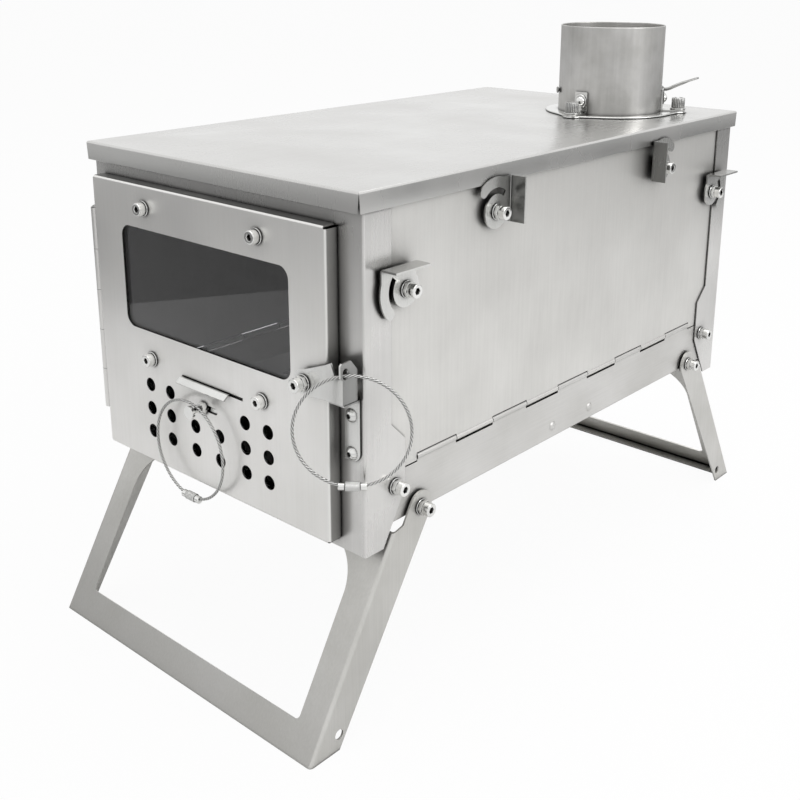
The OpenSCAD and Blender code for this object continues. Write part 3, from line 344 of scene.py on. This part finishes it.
def piece(name, body, material, grids, nodes, sharp=35, tone=None):
    """One mesh from grids of points (rows, columns, 3) in mm. Face (i, j) joins the points (i, j),
    (i, j + 1), (i + 1, j + 1) and (i + 1, j). Points that fall together are welded. `tone` is a
    number from 0 to 1 for each point, kept as the attribute of that name."""
    points, faces, start = [], [], 0
    for grid in grids:
        index = start + np.arange(grid[..., 0].size).reshape(grid.shape[:2])
        quads = np.stack([index[:-1, :-1], index[:-1, 1:], index[1:, 1:], index[1:, :-1]], -1)
        points.append(grid.reshape(-1, 3))
        faces.append(quads.reshape(-1, 4))
        start += index.size
    mesh = bpy.data.meshes.new(name)
    mesh.from_pydata((np.concatenate(points) * MM).tolist(), [], np.concatenate(faces).tolist())
    if tone is not None:
        mesh.attributes.new("tone", "FLOAT", "POINT").data.foreach_set("value", tone.ravel())
    work = bmesh.new()
    work.from_mesh(mesh)
    bmesh.ops.remove_doubles(work, verts=work.verts, dist=WELD * MM)
    bmesh.ops.recalc_face_normals(work, faces=work.faces)
    work.to_mesh(mesh)
    work.free()
    mesh.shade_smooth()
    mesh.set_sharp_from_angle(angle=np.radians(sharp))
    mesh.materials.append(material)
    obj = bpy.data.objects.new(name, mesh)
    bpy.context.collection.objects.link(obj)
    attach(obj, body)
    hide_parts(*nodes)


def ring_rows(r_in, r_out, z0, z1, six=0, edge=0.2):
    """Closed rows of a washer, spacer or nut with its outer edges broken by `edge`."""
    return [
        (r_in, z0), (r_out - edge, z0, six), (r_out, z0 + edge, six), (r_out, z1 - edge, six),
        (r_out - edge, z1, six), (r_in, z1), (r_in, z0),
    ]


def head_rows(z0, round_r=0.45, foot_edge=0.25):
    """Rows of a socket head that stands on z0: rounded rim, hexagon socket with a drilled floor."""
    top = z0 + HEAD_H
    rim = [
        (HEAD_R - round_r * (1 - np.sin(a)), top - round_r * (1 - np.cos(a)))
        for a in np.radians([90, 65, 40, 20, 0])
    ]
    socket = [
        (2.0, top, 1), (1.78, top - 0.25, 1), (1.78, top - 2.3, 1), (1.3, top - 2.5), (0, top - 3.1),
    ]
    return [(SHANK_R, z0), (HEAD_R - foot_edge, z0), (HEAD_R, z0 + foot_edge), *rim, *socket]


def cap_screw(spacer, plate, tail, nut_at=None):
    """Grids of one screw. z = 0 is the face it is fixed to. `spacer` and `plate` lie under its
    washer, `tail` sticks out behind, and an inner nut starts nut_at behind the face."""
    top = spacer + plate + FACE_GAP
    grids = [
        turned([(0, -tail), (SHANK_R, -tail), (SHANK_R, top + NUT_H + 1)]),
        turned(ring_rows(SHANK_R, WASHER_R, top, top + WASHER_T)),
        turned(ring_rows(SHANK_R, NUT_R, top + WASHER_T, top + NUT_H, 1)),
        turned(head_rows(top + NUT_H)),
    ]
    if spacer:
        grids.append(turned(ring_rows(SHANK_R, WASHER_R - 0.2, FACE_GAP, spacer - FACE_GAP)))
    if nut_at:
        grids.append(turned(ring_rows(SHANK_R, NUT_R, -nut_at - NUT_H, -nut_at, 1)))
    return grids


bright_steel = satin_steel(
    "turned_stainless_screw", "#F2F2F0", "#D9D9D7", 0.14, "Z", 0.6, 6, crease_mm=4, shade=0.3
)
SIDE_SCREWS = (  # node, spacer, plate, tail, inner nut
    ("wall_screws", 0, 0, 5.3, 1.9),
    ("leg_pivot_screws", 1.4, 1.0, 1.3, None),
    ("top_latch_screws", 2.6, 1.0, 4.3, 0.9),
    ("corner_latch_screws", 2.6, 1.0, 4.3, 0.9),
)
for node, spacer, plate, tail, nut_at in SIDE_SCREWS:
    low, high = np.array(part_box(node)) / MM
    face_x = high[0] - (spacer + plate + FACE_GAP + NUT_H + HEAD_H)
    at_y, at_z = high[1] - WASHER_R, (low[2] + high[2]) / 2
    grids = []
    for sx in (1, -1):
        for sy in (1, -1):
            for grid in cap_screw(spacer, plate, tail, nut_at):
                grids.append(stand(grid, (sx * face_x, sy * at_y, at_z), (sx, 0, 0)))
    piece(node + "_turned", "root", bright_steel, grids, [node])

FORWARDS = (0, -1, 0)
low, high = np.array(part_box("glass_screws")) / MM
door_y = low[1] + FACE_GAP + WASHER_T + HEAD_H + FACE_GAP
glass_tail = -GLASS_NUT - NUT_H
glass_screw = (
    turned([(0, glass_tail), (SHANK_R, glass_tail), (SHANK_R, 2)]),
    turned(ring_rows(SHANK_R, WASHER_R, 0.05, 1)),
    turned(ring_rows(SHANK_R, NUT_R, glass_tail, -GLASS_NUT, 1)),
    turned(head_rows(1)),
)
grids = []
for x in (low[0] + WASHER_R, high[0] - WASHER_R):
    for z in (low[2] + WASHER_R, high[2] - WASHER_R):
        grids += [stand(grid, (x, door_y, z), FORWARDS) for grid in glass_screw]
piece("glass_screws_turned", "door", bright_steel, grids, ["glass_screws"])

low, high = np.array(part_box("latch_pivot_screw")) / MM
foot_y = low[1] + PIVOT_SPACER + PIVOT_PLATE + FACE_GAP + NUT_H + HEAD_H
foot = ((low[0] + high[0]) / 2, foot_y, (low[2] + high[2]) / 2)
pivot = cap_screw(PIVOT_SPACER, PIVOT_PLATE, PIVOT_TAIL)
grids = [stand(grid, foot, FORWARDS) for grid in pivot]
piece("latch_pivot_turned", "door", bright_steel, grids, ["latch_pivot_screw"])

dress(bright_steel, "door_hinge_screws", "strike_screws", "slider_pull_screw")


# --------------------------------------------------------------------- lid
# A shallow pan folded from one brushed sheet. Its four skirts meet at the corners in a
# narrow seam that opens a little downwards.

SHEET = 0.8


def lid_grids(half_w, half_l, top, depth, hole, bend=1.2, opening=0.09, lip=0.15, columns=24):
    """The pan's top with its round hole, its two faces, and four skirts mitred at the corners.

    At inset u and depth w a skirt ends at half length - u - opening * w, so the seam opens
    with depth. The bend is a quarter circle: u = bend - r sin a, w = bend - r cos a."""
    a = np.radians(np.linspace(0, 90, 7))
    outer = np.stack([bend - bend * np.sin(a), bend - bend * np.cos(a)], -1)
    inner = np.stack([bend - (bend - SHEET) * np.sin(a), bend - (bend - SHEET) * np.cos(a)], -1)
    outer = np.vstack([outer, [[0, depth - lip], [lip, depth]]])
    inner = np.vstack([inner, [[SHEET, depth - lip], [SHEET - lip, depth]]])
    along = np.linspace(-1, 1, columns + 1)
    grids = []
    for turn in range(4):
        half, reach = ((half_l, half_w), (half_w, half_l))[turn % 2]
        quarter = np.array([[0, -1], [1, 0]]) if turn % 2 else np.eye(2)
        spin = quarter * (-1 if turn > 1 else 1)

        def skirt(profile):
            u, w = profile.T[..., None]
            end = half - u - opening * w
            xy = np.stack([reach - u + 0 * along, along * end], -1) @ spin.T
            return np.dstack([xy, top - w + 0 * along])

        faces = [skirt(outer), skirt(inner)]
        grids += faces + [np.stack([f[-1] for f in faces])]
        grids += [np.stack([f[:, end] for f in faces]) for end in (0, -1)]
    inset_w, inset_l = half_w - bend, half_l - bend
    edge = np.vstack([
        np.stack([inset_w + 0 * along, along * inset_l], -1),
        np.stack([-along * inset_w, inset_l + 0 * along], -1),
        np.stack([-inset_w + 0 * along, -along * inset_l], -1),
        np.stack([along * inset_w, -inset_l + 0 * along], -1),
    ])
    x, y, r = hole
    away = edge - (x, y)
    rim = (x, y) + r * away / np.linalg.norm(away, axis=1, keepdims=True)
    share = np.linspace(0, 1, 5)[:, None, None] ** 2
    for z in (top, top - SHEET):
        level = np.full((len(share), len(edge)), z)
        grids.append(np.dstack([rim * (1 - share) + edge * share, level]))
    levels = (top, top - SHEET)
    grids.append(np.stack([np.column_stack([rim, np.full(len(rim), z)]) for z in levels]))
    return grids


lid_low, lid_high = np.array(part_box("lid")) / MM
spigot_low, spigot_high = np.array(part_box("flue_spigot")) / MM
flue_x, flue_y = (spigot_low[:2] + spigot_high[:2]) / 2
flue_r = (spigot_high[0] - spigot_low[0]) / 2
lid_top = lid_high[2]
hole = (flue_x, flue_y, flue_r - 0.6)
lid_steel = satin_steel(
    "brushed_stainless_lid", "#D6D6D4", "#CCCBC9", 0.27, "YZ", long_mm=90
)
grids = lid_grids(lid_high[0], lid_high[1], lid_top, lid_top - lid_low[2], hole)
piece("lid_folded", "lid", lid_steel, grids, ["lid"])


# ---------------------------------------------------------- flue and damper
# A rolled and seam-welded spigot in a polished collar plate, which three angle brackets and
# knurled thumb screws hold down. The damper's rod leaves it through a cone washer.

EARS = np.radians([-90, 30, 150])
EAR_AT = 44.5  # radius on which the ears' middles and the thumb screws lie
COLLAR_T, THUMB_SEAT, BOLT_HEIGHT = 1.2, 2.35, 9.55
BOLT_R, DOME_R, DOME_H = 1.5, 3.1, 2.4
RIDGES = 22
flue_steel = satin_steel(
    "rolled_stainless_flue", "#D2D1CF", "#AEADAA", 0.36, "Z", wide_mm=3, cloud_mm=22, line=0.5
)
collar_steel = satin_steel(
    "polished_stainless_collar", "#E8E8E6", "#D2D2D0", 0.14, "XY", crease_mm=4, line=0.5
)


def at_flue(grid, height):
    """Stands a grid drawn round Z on the flue's axis, `height` over the lid."""
    return grid + np.array([flue_x, flue_y, lid_top + height])


height = spigot_high[2] - lid_top
scribe = [
    (flue_r, 17.85), (flue_r, 17.9), (flue_r - 0.05, 18.2), (flue_r, 18.5), (flue_r, 18.55),
]
rim = [
    (flue_r - SHEET / 2 + SHEET / 2 * np.cos(b), height - SHEET / 2 + SHEET / 2 * np.sin(b))
    for b in np.linspace(0, np.pi, 9)
]
outside = [(flue_r, 0.05), *scribe, (flue_r, height - 0.7)]
inside = [(flue_r - SHEET, height - 0.7), (flue_r - SHEET, 0.05), (flue_r, 0.05)]
tube = turned([*outside, *rim, *inside], columns=144)
piece("flue_tube", "lid", flue_steel, [at_flue(tube, 0)], ["flue_spigot"])


def collar_edge(a, ring=41.5, ear_r=5.5, web=np.radians(24)):
    """Outer radius of the collar plate at angle a: its ring, or further out its three ears and
    the straight webs that run from each ear's side to the ring at `web` from its middle."""
    d = np.abs((a[:, None] - EARS + np.pi) % (2 * np.pi) - np.pi).min(1)
    reach = ear_r**2 - (EAR_AT * np.sin(d)) ** 2
    ear = np.where(reach > 0, EAR_AT * np.cos(d) + np.sqrt(np.maximum(reach, 0)), 0)
    p, q = np.array([EAR_AT, ear_r]), ring * np.array([np.cos(web), np.sin(web)])
    step = q - p
    line = (p[0] * step[1] - p[1] * step[0]) / (np.cos(d) * step[1] - np.sin(d) * step[0])
    line = np.where((d < web) & (d > np.arctan2(ear_r, EAR_AT)), line, 0)
    return np.maximum(np.maximum(ring, ear), line)


around = np.linspace(0, 2 * np.pi, 361)
edge = collar_edge(around)
bore = flue_r + 0.2 + 0 * around
half_t = COLLAR_T / 2
rounded = [
    (edge + half_t * (np.cos(b) - 1), half_t + half_t * np.sin(b))
    for b in np.linspace(-np.pi / 2, np.pi / 2, 9)
]
rows = [(bore, 0), *rounded, (bore, COLLAR_T), (bore, 0)]
collar = np.stack([
    np.stack([r * np.cos(around), r * np.sin(around), z + 0 * around], -1) for r, z in rows
])
grids = [at_flue(collar, 0.05)]
piece("flue_collar_polished", "lid", collar_steel, grids, ["flue_collar"])
dress(collar_steel, "flue_brackets")
dress(flue_steel, "damper_blade")

dome = [(DOME_R * np.cos(b), DOME_H * np.sin(b)) for b in np.linspace(0, np.pi / 2, 10)]
bolt = (
    turned([(BOLT_R, -1.9), (BOLT_R, 0), (DOME_R, 0), *dome]),
    turned(ring_rows(BOLT_R, 4.3, 0, 0.5)),
)
thumb = turned(
    [(0, 0), (4.9, 0), (5.0, 0.15), (5.0, 0.75), (4.9, 0.9), (4.1, 0.9), (4.1, 1.1), (4.25, 1.3)]
    + [(4.25, 7.0), (3.9, 7.45), (2.6, 7.5), (2.4, 7.2), (0, 7.2)],
    columns=12 * RIDGES,
)
grip = slice(7, 9)  # the two rows of the thumb screw between which the knurl runs
ridge = 0.5 + 0.5 * np.cos(RIDGES * np.arctan2(thumb[grip, :, 1], thumb[grip, :, 0]))
thumb[grip, :, :2] *= (1 - 0.06 * ridge)[..., None]
# The knurl's grooves get a darker tone, which is painted shade; the rest of the thumb screws, studs
# and nuts get a plain tone.
PLAIN_TONE = 0.7
thumb_groove_shade = np.full(thumb.shape[:2], PLAIN_TONE)
thumb_groove_shade[grip] = 0.75 - 0.65 * ridge
stud = turned([(0, -3.4), (SHANK_R, -3.4), (SHANK_R, 3.3)])
nut = turned(ring_rows(SHANK_R, NUT_R, -3.1, -0.9, 1))
bolts, screws, tones = [], [], []
for ear in EARS:
    out = np.array([np.cos(ear), np.sin(ear), 0])
    bolts += [at_flue(stand(grid, out * (flue_r + 1.35), out), BOLT_HEIGHT) for grid in bolt]
    for grid, rise in ((thumb, THUMB_SEAT), (stud, 0), (nut, 0)):
        screws.append(at_flue(grid + out * EAR_AT, rise))
    tones += [thumb_groove_shade.ravel(), np.full(stud[..., 0].size + nut[..., 0].size, PLAIN_TONE)]
piece("bracket_bolts_domed", "lid", bright_steel, bolts, ["bracket_bolts"])
# valley=True: the thumb screws' "tone" attribute paints shade into the knurl's grooves.
knurled_steel = satin_steel(
    "knurled_stainless_grip", "#E6E6E4", "#D0D0CE", 0.2, "Z", crease_mm=4, valley=True
)
piece(
    "thumb_screws_knurled", "lid", knurled_steel, screws, ["collar_thumb_screws"],
    sharp=60, tone=np.concatenate(tones),
)


def swept(path, wide, high, columns=20):
    """A tube along a path in the (out, up) plane, with an elliptical section of the given half
    width and half height at each point, and closed ends."""
    ahead = np.gradient(path, axis=0)
    ahead /= np.linalg.norm(ahead, axis=1, keepdims=True)
    b = np.linspace(0, 2 * np.pi, columns + 1)
    across = np.outer(wide, np.cos(b))
    rise = np.outer(high, np.sin(b))
    x = path[:, :1] - ahead[:, 1:] * rise
    z = path[:, 1:] + ahead[:, :1] * rise
    body = np.stack([x, across, z], -1)
    closed = [body[i].mean(0) + np.zeros((1, columns + 1, 3)) for i in (0, -1)]
    return np.concatenate([closed[0], body, closed[1]])


ROD_R, ROD_END = 1.1, 1.5  # half the rod's thickness, and what stands out at its capped end
ROD_HEIGHT = 14.05
STRAIGHT = 0.75  # the straight part's share of the rod's points; the handle has the rest
HANDLE_OUT, HANDLE_UP = 20.6, 7.4
TIP = 0.9  # where on the handle its rounded tip starts
DAMPER_TURN = np.pi / 4  # from +X towards +Y

bend_x = flue_r + 5
share = np.linspace(0, 1, 40)
handle = np.clip((share - STRAIGHT) / (1 - STRAIGHT), 0, 1)
straight_x = -flue_r - ROD_END + (bend_x + flue_r + ROD_END) * share / STRAIGHT
out = np.where(share < STRAIGHT, straight_x, bend_x + HANDLE_OUT * handle)
up = HANDLE_UP * (1.25 * handle - 0.25 * handle**2) * np.clip(handle * 4, 0, 1) ** 0.15
flat = np.clip((handle - 0.45) / 0.3, 0, 1)
flat = flat * flat * (3 - 2 * flat)
rounding = np.sqrt(np.maximum(1 - ((handle - TIP) / (1 - TIP)) ** 2, 0.02))
wide = (ROD_R + 1.1 * flat) * np.where(handle > TIP, rounding, 1)
rod = swept(np.stack([out, up], -1), wide, ROD_R - 0.5 * flat)
cone = turned([(ROD_R, 0.15), (3.0, 0.15), (3.2, 0.35), (ROD_R + 0.7, 2.35), (ROD_R, 2.35)], 40)
cone = stand(cone, (flue_r, 0, 0), (1, 0, 0))
cap = turned(ring_rows(0.1, ROD_R + 0.9, -flue_r - 1.9, -flue_r - 0.9))
cap = stand(cap, (0, 0, 0), (1, 0, 0))
spin = np.array([
    [np.cos(DAMPER_TURN), -np.sin(DAMPER_TURN), 0],
    [np.sin(DAMPER_TURN), np.cos(DAMPER_TURN), 0],
    [0, 0, 1],
])
grids = [at_flue(grid @ spin.T, ROD_HEIGHT) for grid in (rod, cone, cap)]
piece("damper_rod_bent", "flue_damper", rod_steel, grids, ["damper_rod"])


# -------------------------------------------------------------------- door
# A shallow folded pan like the lid, standing on edge, with a smoky glass pane behind it,
# its slider, lever and strike all pressed from the same satin sheet.

# Faces square to X keep 0.42 of their tone and faces square to Z keep 0.12: painted shade and
# painted reflection that darken the door's side and top flanges.
door_steel = satin_steel(
    "satin_stainless_door", "#F0EFED", "#E6E5E2", 0.34, "Z", 1.4, 50,
    crease_mm=8, shade=0.3, facing={"X": 0.42, "Z": 0.12},
)
dress(door_steel, "door_panel", "glass_clamps", "door_hinge_leaf", "door_knuckle_leaf")
# Faces square to X keep 0.45 of their tone: painted shade on the plates' side faces.
plate_steel = satin_steel(
    "polished_stainless_plate", "#EAEAE8", "#D4D4D2", 0.2, "Z",
    crease_mm=5, shade=0.3, facing={"X": 0.45},
)
dress(plate_steel, "air_slider", "door_latch", "latch_strike")

glass = bpy.data.materials.new("smoky_ceramic_glass")
tree = node_tree(glass)
skin = add(
    tree, "ShaderNodeBsdfPrincipled",
    {
        "Base Color": linear("#DCDCDE"), "Roughness": 0.02,
        "IOR": 1.52, "Transmission Weight": 1.0,
    },
)
add(tree, "ShaderNodeOutputMaterial", {"Surface": skin.outputs[0]})
dress(glass, "window_glass")


# ------------------------------------------------------------- cable rings
# Each ring is a loop of steel wire rope, four strands laid round a core, whose two ends
# meet in a turned barrel: two plain sleeves and a knurled middle.

RING_R, CABLE_R, BARREL_L = 27.7, 0.8, 14.0
BARREL_ANGLE = np.arcsin(BARREL_L / 2 / RING_R)  # half of what the barrel spans of the ring
UP = np.array([0, 0, 1.0])


def rope_loop(middle, across, open_half, lay=8.8, strands=4, columns=36, step=0.28):
    """A round loop of laid rope in the plane of `across` and Z, open at its foot.

    The section's radius at angle b and length s is CABLE_R (1 - 0.3 (1 - |cos(strands/2 (b - 2 pi
    s / lay))|)), so the strands stand out as lobes that turn once in each lay. The second result
    is the tone of each point, painted shade that is dark between the strands."""
    a = np.arange(open_half, 2 * np.pi - open_half, step / RING_R) - np.pi / 2
    s = (a * RING_R)[:, None]
    b = np.linspace(0, 2 * np.pi, columns + 1)
    lobe = np.abs(np.cos(strands / 2 * (b - 2 * np.pi * s / lay)))
    r = CABLE_R * (1 - 0.3 * (1 - lobe))
    away = np.outer(np.cos(a), across) + np.outer(np.sin(a), UP)
    outwards = away[:, None] * (RING_R + (r * np.cos(b))[..., None])
    sideways = np.cross(across, UP) * (r * np.sin(b))[..., None]
    return middle + outwards + sideways, 0.04 + 0.96 * lobe**1.5


def barrel(middle, across, columns=144):
    """The barrel, turned round `across` under the loop's middle, with a knurl of crossed waves."""
    end_x = np.array([7, 6.9, 6.6, 3.9, 3.7, 3.5, 3.5, 3.3])
    end_r = np.array([0, 1.7, 2.0, 2.0, 1.75, 1.75, 2.1, 2.38])
    x = np.concatenate([-end_x, np.linspace(-3.1, 3.1, 25), end_x[::-1]])
    r = np.concatenate([end_r, np.full(25, end_r[-1]), end_r[::-1]])
    b = np.linspace(0, 2 * np.pi, columns + 1)
    wave = np.cos(18 * b + 5.2 * x[:, None]) + np.cos(18 * b - 5.2 * x[:, None])
    middle_part = (np.abs(x) < 3.2)[:, None]
    radius = r[:, None] + np.where(middle_part, 0.09 * (wave - 1), 0)
    drop = RING_R * np.cos(BARREL_ANGLE * 0.5)
    along = np.outer(x, across)[:, None]
    upwards = (radius * np.cos(b))[..., None] * UP
    sideways = np.cross(across, UP) * (radius * np.sin(b))[..., None]
    return middle - [0, 0, drop] + along + upwards + sideways


# valley=True: the rope's "tone" attribute paints shade between its strands.
cable_steel = satin_steel(
    "laid_wire_rope", "#EDEDEB", "#D0D0CE", 0.25, "Z", 0.5, 3, crease_mm=6, valley=True
)
for body, turn in (("pull_ring", 0), ("latch_ring", np.radians(41))):
    low, high = np.array(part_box(body + "_cable")) / MM
    ring_z = high[2] - CABLE_R - RING_R
    middle = np.array([(low[0] + high[0]) / 2, (low[1] + high[1]) / 2, ring_z])
    across = np.array([np.cos(turn), np.sin(turn), 0])
    loop, tone = rope_loop(middle, across, BARREL_ANGLE * 0.6)
    piece(
        body + "_rope", body, cable_steel, [loop], [body + "_cable"],
        sharp=80, tone=tone,
    )
    grids = [barrel(middle, across)]
    piece(body + "_sleeve", body, bright_steel, grids, [body + "_barrel"])


# --------------------------------------------------- legs and turn latches
# Legs and latches are pressed from 1 mm sheet and left satin. The latches' cut and folded
# faces that look forwards or upwards are painted darker than their broad sides, as painted shade.

leg_steel = satin_steel(
    "satin_stainless_leg", "#D6D5D2", "#C2C1BD", 0.38, "Z", crease_mm=6, shade=0.7
)
dress(leg_steel, "leg_front", "leg_rear")
latch_steel = satin_steel(
    "stamped_stainless_latch", "#DEDEDC", "#C8C8C5", 0.24, "Z",
    crease_mm=5, shade=0.3, facing={"Y": 0.38, "Z": 0.6},
)
dress(latch_steel, *[n for n in cad if "_latch_" in n and n.endswith(("_right", "_left"))])
